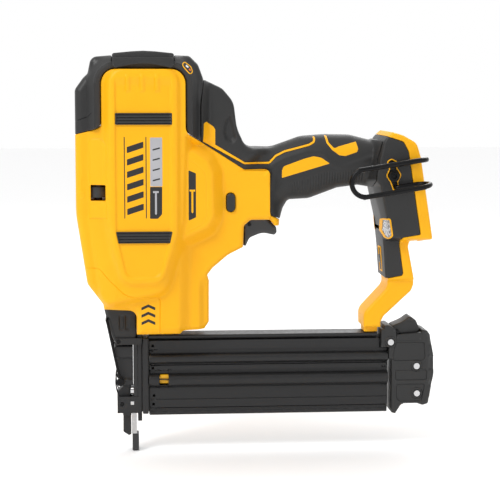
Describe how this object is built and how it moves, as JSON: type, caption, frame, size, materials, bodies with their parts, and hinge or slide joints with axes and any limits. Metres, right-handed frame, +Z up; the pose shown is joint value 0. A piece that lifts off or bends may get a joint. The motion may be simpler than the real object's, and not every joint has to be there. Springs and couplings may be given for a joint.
{
  "type": "brad nailer",
  "caption": "Hand-held cordless brad nailer: flywheel drive head, pistol-free straight handle, battery foot with belt hook, sliding magazine and sprung contact tip.",
  "frame": {"origin": "bottom of the contact tip's pad, on the drive axis, where it meets the work", "axes": "+X from the nose back to the battery foot, +Z up along the drive axis away from the work, -Y is the tool's left side with the belt hook"},
  "size_m": [0.2765, 0.0945, 0.307],
  "materials": {
    "yellow_nylon": "fine moulded satin",
    "black_rubber": "soft overmould, fine matt grain",
    "black_nylon": "glass-filled, satin",
    "black_casting": "black powder coat on a zinc casting",
    "black_anodised": "black anodised extrusion",
    "bright_steel": "bright, lightly ground",
    "black_oxide_steel": "black coated wire",
    "cast_aluminium": "as cast",
    "copper_windings": "enamelled winding",
    "light_lens": "frosted clear",
    "yellow_indicator": "satin",
    "potted_circuit": "potting compound"
  },
  "bodies": {
    "tool": {"housing_left": "yellow_nylon", "housing_right": "yellow_nylon", "grip_left": "black_rubber", "grip_right": "black_rubber", "foot_panel_left": "black_rubber", "foot_panel_right": "black_rubber", "upper_vent_left": "black_nylon", "upper_vent_right": "black_nylon", "lower_vent_left": "black_nylon", "lower_vent_right": "black_nylon", "work_light_left": "light_lens", "work_light_right": "light_lens", "top_cap": "black_nylon", "top_bumper": "black_rubber", "drive_frame": "cast_aluminium", "motor_stator": "copper_windings", "bearing_left": "bright_steel", "bearing_right": "bright_steel", "return_rod_left": "bright_steel", "return_rod_right": "bright_steel", "return_spring_left": "bright_steel", "return_spring_right": "bright_steel", "driver_bumper": "black_rubber", "solenoid": "bright_steel", "trigger_pin": "bright_steel", "trigger_switch": "black_nylon", "nose_frame": "black_casting", "magazine_plate": "black_casting", "door_pin": "bright_steel", "latch_pin": "bright_steel", "trip_spring": "bright_steel", "magazine_rail": "black_anodised", "belt_hook": "black_oxide_steel", "hook_screw": "black_oxide_steel", "battery_terminal_block": "black_nylon", "control_board": "potted_circuit"},
    "driver": {"driver": "bright_steel"},
    "flywheel": {"flywheel": "bright_steel", "motor_shaft": "bright_steel"},
    "pinch_arm": {"pinch_arm": "bright_steel"},
    "pinch_roller": {"pinch_roller": "bright_steel"},
    "trigger": {"trigger": "black_nylon"},
    "lock_off": {"lock_off_pin": "black_nylon"},
    "depth_wheel": {"depth_wheel": "black_nylon"},
    "mode_selector": {"mode_selector": "black_nylon"},
    "nose_door": {"nose_door": "black_casting"},
    "latch_lever": {"latch_lever": "black_nylon"},
    "wire_bail": {"wire_bail": "bright_steel"},
    "contact_trip": {"contact_trip": "bright_steel", "no_mar_pad": "black_rubber"},
    "magazine": {"magazine_cover": "black_anodised", "magazine_end_cap": "black_nylon", "end_cap_screw_upper": "bright_steel", "end_cap_screw_middle": "bright_steel", "end_cap_screw_lower": "bright_steel", "magazine_latch_pin": "bright_steel"},
    "magazine_latch": {"magazine_latch": "black_nylon"},
    "pusher": {"pusher": "yellow_indicator", "pusher_spring": "bright_steel"}
  },
  "joints": [
    {"name": "driver_stroke", "type": "slide", "parent": "tool", "child": "driver", "axis": [0, 0, -1], "range_m": [0, 0.076], "stiffness_N_per_m": 120, "springref_m": -0.03, "deforming": ["return_spring_left", "return_spring_right"]},
    {"name": "flywheel_spin", "type": "hinge", "parent": "tool", "child": "flywheel", "pos_m": [0.0318, 0, 0.212], "axis": [0, 1, 0], "continuous": true},
    {"name": "pinch_arm_pivot", "type": "hinge", "parent": "tool", "child": "pinch_arm", "pos_m": [-0.0155, 0, 0.18], "axis": [0, 1, 0], "range_deg": [0, 1.8], "stiffness_Nm_per_rad": 0.5, "springref_deg": -2.86},
    {"name": "pinch_roller_spin", "type": "hinge", "parent": "pinch_arm", "child": "pinch_roller", "pos_m": [-0.0106, 0, 0.212], "axis": [0, 1, 0], "continuous": true},
    {"name": "trigger_pull", "type": "hinge", "parent": "tool", "child": "trigger", "pos_m": [0.088, 0, 0.176], "axis": [0, -1, 0], "range_deg": [0, 8], "stiffness_Nm_per_rad": 0.15, "springref_deg": -11.46},
    {"name": "lock_off_push", "type": "slide", "parent": "tool", "child": "lock_off", "axis": [0, 1, 0], "range_m": [0, 0.0025]},
    {"name": "depth_wheel_turn", "type": "hinge", "parent": "tool", "child": "depth_wheel", "pos_m": [-0.027, -0.0222, 0.2], "axis": [0, 0, 1], "continuous": true},
    {"name": "mode_selector_slide", "type": "slide", "parent": "tool", "child": "mode_selector", "axis": [-0.1599, 0, 0.9871], "range_m": [0, 0.0045]},
    {"name": "nose_door_hinge", "type": "hinge", "parent": "tool", "child": "nose_door", "pos_m": [-0.0105, 0, 0.0375], "axis": [0, -1, 0], "range_deg": [0, 75]},
    {"name": "latch_lever_hinge", "type": "hinge", "parent": "tool", "child": "latch_lever", "pos_m": [-0.013, 0, 0.0869], "axis": [0, -1, 0], "range_deg": [0, 85]},
    {"name": "wire_bail_hinge", "type": "hinge", "parent": "latch_lever", "child": "wire_bail", "pos_m": [-0.0215, 0, 0.104], "axis": [0, -1, 0], "range_deg": [-85, 0]},
    {"name": "contact_trip_slide", "type": "slide", "parent": "tool", "child": "contact_trip", "axis": [0, 0, 1], "range_m": [0, 0.008], "stiffness_N_per_m": 350, "springref_m": -0.012, "deforming": ["trip_spring"]},
    {"name": "magazine_slide", "type": "slide", "parent": "tool", "child": "magazine", "axis": [1, 0, 0], "range_m": [0, 0.09]},
    {"name": "magazine_latch_pivot", "type": "hinge", "parent": "magazine", "child": "magazine_latch", "pos_m": [0.2035, 0, 0.0915], "axis": [0, 1, 0], "range_deg": [0, 8], "stiffness_Nm_per_rad": 0.1, "springref_deg": -8.59},
    {"name": "pusher_slide", "type": "slide", "parent": "tool", "child": "pusher", "axis": [1, 0, 0], "range_m": [0, 0.138], "stiffness_N_per_m": 12, "springref_m": -0.6}
  ],
  "couplings": [
    {"joint": "wire_bail_hinge", "follows": "latch_lever_hinge", "ratio": -1}
  ]
}
